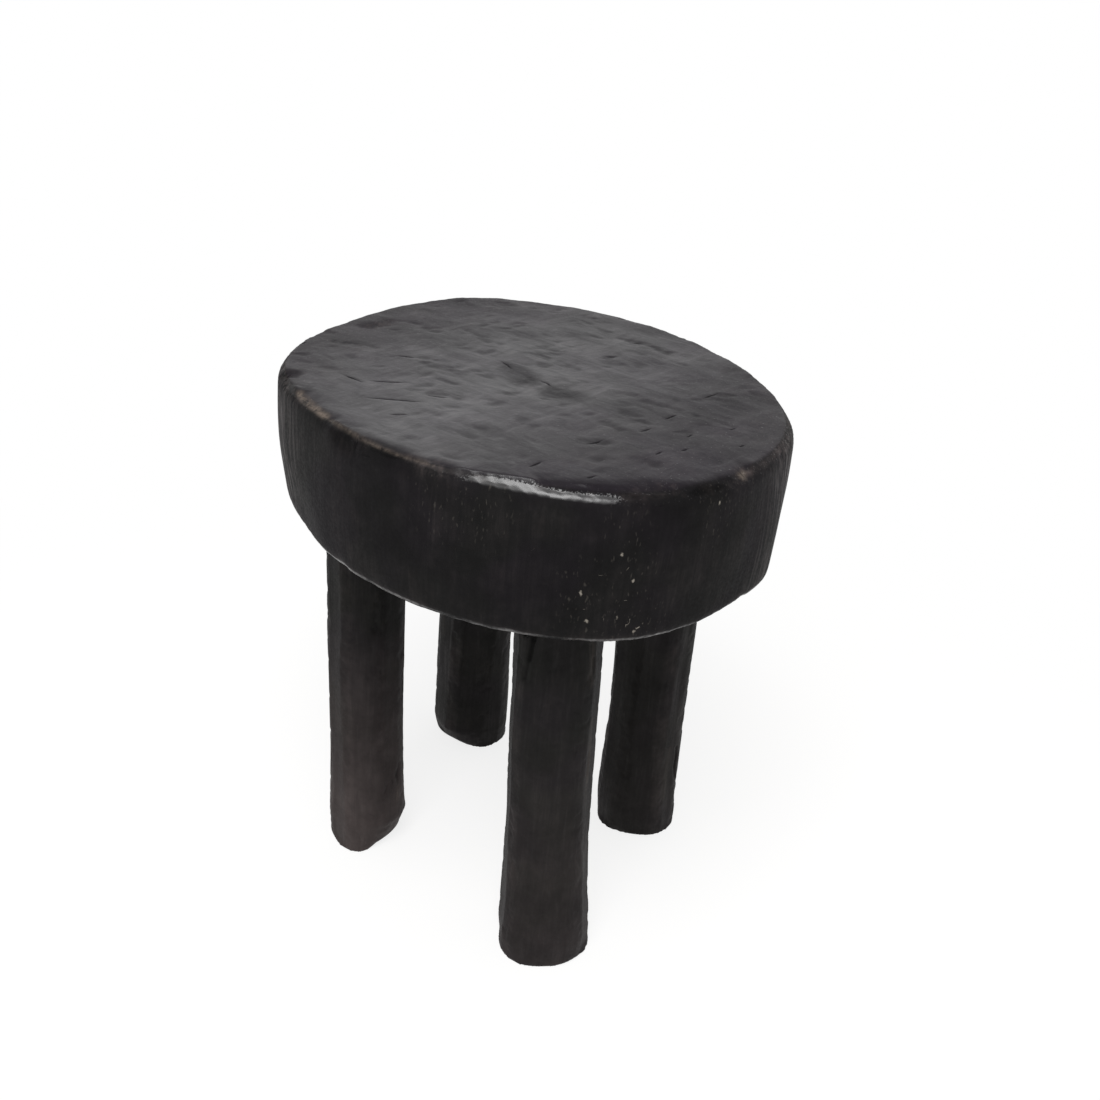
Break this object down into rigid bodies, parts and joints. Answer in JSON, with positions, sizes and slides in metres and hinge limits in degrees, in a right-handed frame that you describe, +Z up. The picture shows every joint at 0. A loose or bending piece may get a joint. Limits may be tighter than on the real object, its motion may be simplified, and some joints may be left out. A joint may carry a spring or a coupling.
{
  "type": "stool",
  "caption": "Low hand-carved stool of dark wood: a thick, uneven oval seat with a bevelled rim on stout round legs.",
  "frame": {"origin": "on the floor, below the middle of the stool's outline seen from above", "axes": "+Z up, out of the seat's top face; -Y is the front, and +X is to the right of someone facing the front"},
  "size_m": [0.3971, 0.3854, 0.42],
  "materials": {
    "seat_wood": "blackened and waxed, low sheen",
    "leg_wood": "blackened, dull"
  },
  "bodies": {
    "root": {"seat": "seat_wood", "leg_front_left": "leg_wood", "leg_front_right": "leg_wood", "leg_back_right": "leg_wood", "leg_back_left": "leg_wood"}
  },
  "joints": []
}
